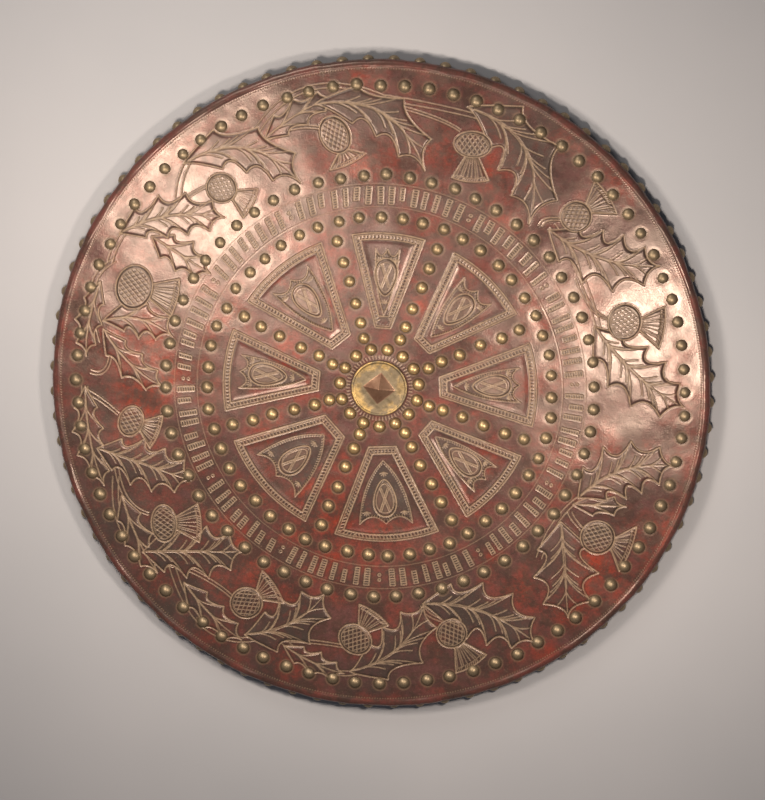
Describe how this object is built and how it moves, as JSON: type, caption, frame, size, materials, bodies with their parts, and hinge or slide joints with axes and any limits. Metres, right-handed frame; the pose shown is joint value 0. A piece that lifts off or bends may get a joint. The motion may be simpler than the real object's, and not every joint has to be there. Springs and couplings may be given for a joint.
{
  "type": "targe shield",
  "caption": "Round dished wooden shield faced with tooled, dyed leather and studded with brass dome nails, with a brass boss plate and two arm bands behind.",
  "frame": {"origin": "centre of the face, on the surface that the rim lies on", "axes": "+Z out of the face, +Y towards the top of the face, +X to the right seen from the front"},
  "size_m": [0.5156, 0.5156, 0.0283],
  "materials": {
    "tooled_leather": "oxblood dyed, tooled, polished",
    "strap_leather": "dark brown, plain",
    "boss_brass": "tarnished",
    "nail_brass": "aged, worn bright on top"
  },
  "bodies": {
    "root": {"leather_faced_board": "tooled_leather", "boss_plate": "boss_brass", "arm_strap": "strap_leather", "hand_grip": "strap_leather", "boss_nail_01": "nail_brass", "boss_nail_02": "nail_brass", "boss_nail_03": "nail_brass", "boss_nail_04": "nail_brass", "boss_nail_05": "nail_brass", "boss_nail_06": "nail_brass", "boss_nail_07": "nail_brass", "boss_nail_08": "nail_brass", "boss_nail_09": "nail_brass", "boss_nail_10": "nail_brass", "boss_nail_11": "nail_brass", "boss_nail_12": "nail_brass", "boss_nail_13": "nail_brass", "boss_nail_14": "nail_brass", "boss_nail_15": "nail_brass"}
  },
  "joints": []
}
